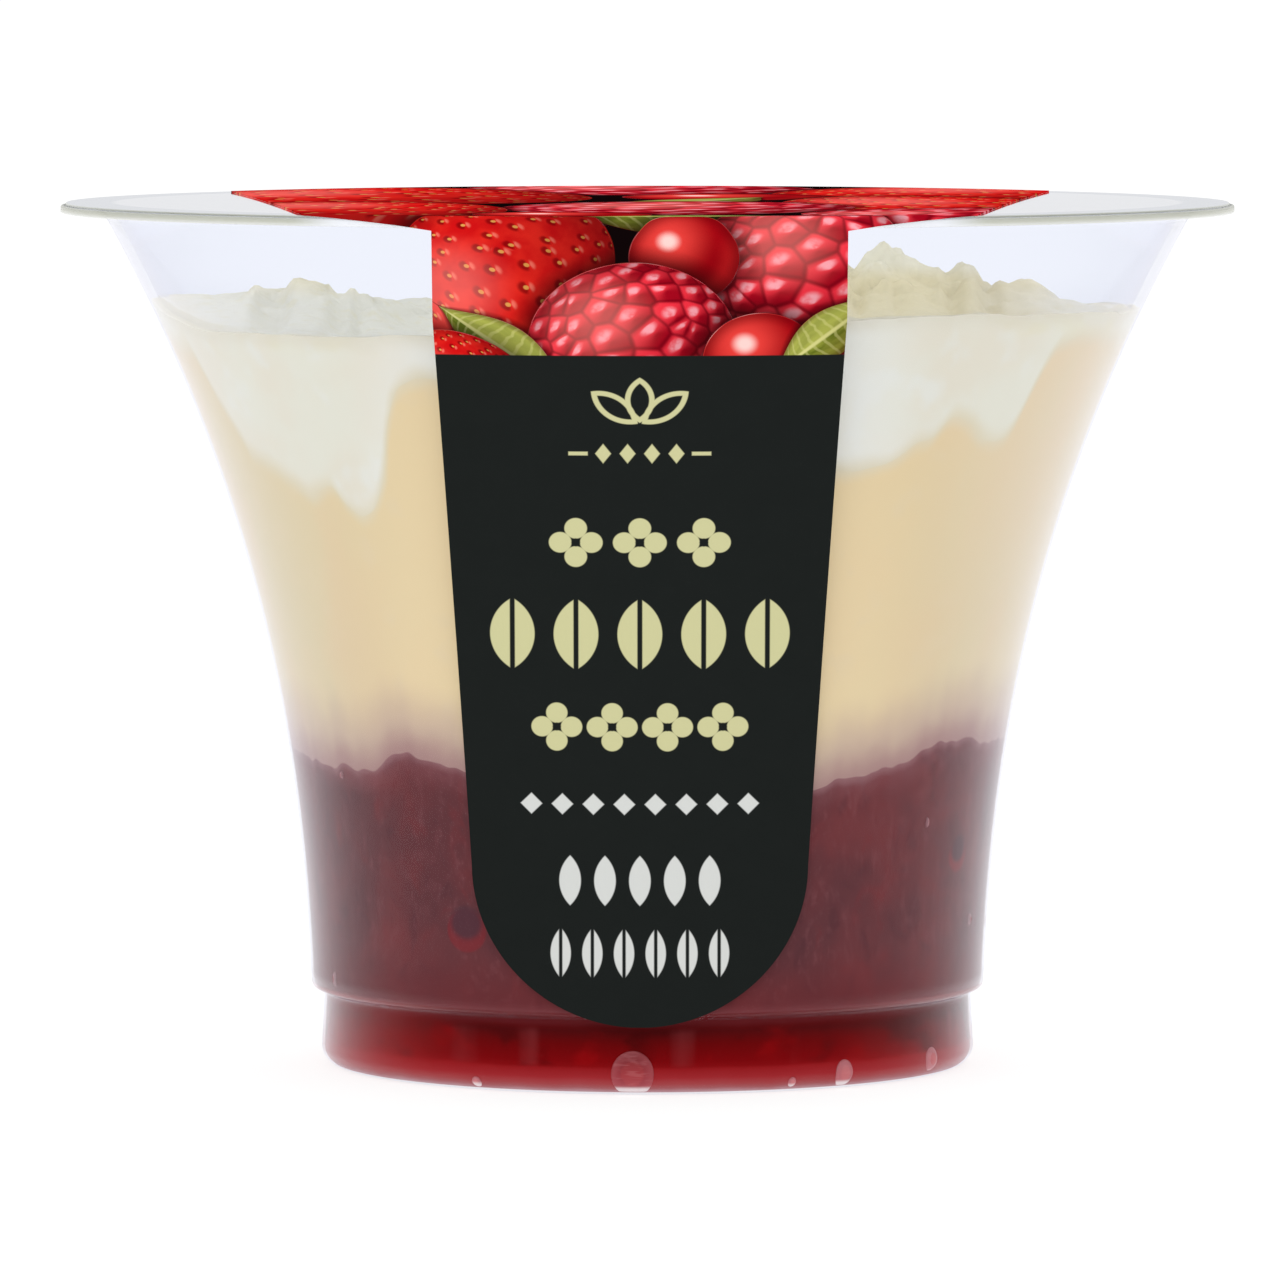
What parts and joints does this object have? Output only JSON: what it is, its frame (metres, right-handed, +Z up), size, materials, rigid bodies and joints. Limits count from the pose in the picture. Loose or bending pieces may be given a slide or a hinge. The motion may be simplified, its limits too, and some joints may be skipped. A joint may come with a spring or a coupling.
{
  "type": "berry trifle in a clear pot",
  "caption": "Single-serve layered berry trifle in a clear flared plastic pot with a lid film and a card label folded over the rim.",
  "frame": {"origin": "centre of the pot's foot, on the surface it stands on", "axes": "+Z up through the pot, -Y to the front where the label hangs, +X to the right as seen from the front"},
  "size_m": [0.095, 0.0957, 0.0704],
  "materials": {
    "clear_pot": "clear, faintly hazy moulded plastic",
    "clear_film": "clear sealing film, gloss",
    "printed_card": "smooth printed card, satin, near-black panel below a red fruit pattern",
    "red_jelly": "clear dark red jelly, wet gloss",
    "berry_fruit": "dark stewed fruit, wet, blotchy maroon",
    "custard": "smooth pale yellow custard, satin",
    "cream": "whipped cream, soft matt"
  },
  "bodies": {
    "root": {"pot": "clear_pot", "lid_film": "clear_film", "label": "printed_card", "berry_jelly": "red_jelly", "berry_compote": "berry_fruit", "custard": "custard", "whipped_cream": "cream"}
  },
  "joints": []
}
